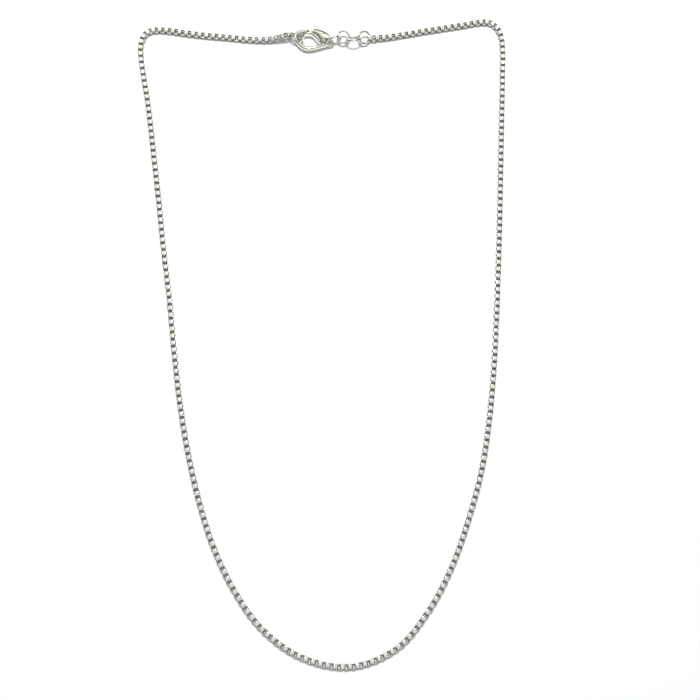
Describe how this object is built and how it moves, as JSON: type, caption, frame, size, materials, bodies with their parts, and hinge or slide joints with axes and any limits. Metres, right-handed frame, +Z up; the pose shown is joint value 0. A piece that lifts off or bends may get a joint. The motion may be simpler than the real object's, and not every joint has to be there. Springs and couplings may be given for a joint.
{
  "type": "box chain necklace",
  "caption": "Thin square box chain necklace in silver-coloured metal, closed in a loop by a lobster clasp and jump rings, lying flat.",
  "frame": {"origin": "middle of the loop's outline, on the surface that the necklace lies on", "axes": "+Z up from the surface, +Y from the low curve of the loop towards the clasp, +X to the right as seen from above"},
  "size_m": [0.109, 0.1866, 0.0041],
  "materials": {
    "chain_silver": "polished silver plate on square bent links",
    "ring_silver": "polished silver plate on round wire",
    "clasp_silver": "polished silver plate on cast metal"
  },
  "bodies": {
    "necklace": {"box_chain_left": "chain_silver", "box_chain_right": "chain_silver", "end_link_left": "chain_silver", "end_link_right": "chain_silver", "hook_ring": "ring_silver", "clasp_body": "clasp_silver", "clasp_rivet": "clasp_silver", "eye_ring": "ring_silver", "round_ring_left": "ring_silver", "long_ring": "ring_silver", "round_ring_right": "ring_silver"},
    "lever": {"clasp_lever": "clasp_silver"}
  },
  "joints": [
    {"name": "clasp_lever_hinge", "type": "hinge", "parent": "necklace", "child": "lever", "pos_m": [0.00033, 0.08664, 0.0015], "axis": [0, 0, 1], "range_deg": [0, 18], "stiffness_Nm_per_rad": 0.002, "springref_deg": -5.73}
  ]
}
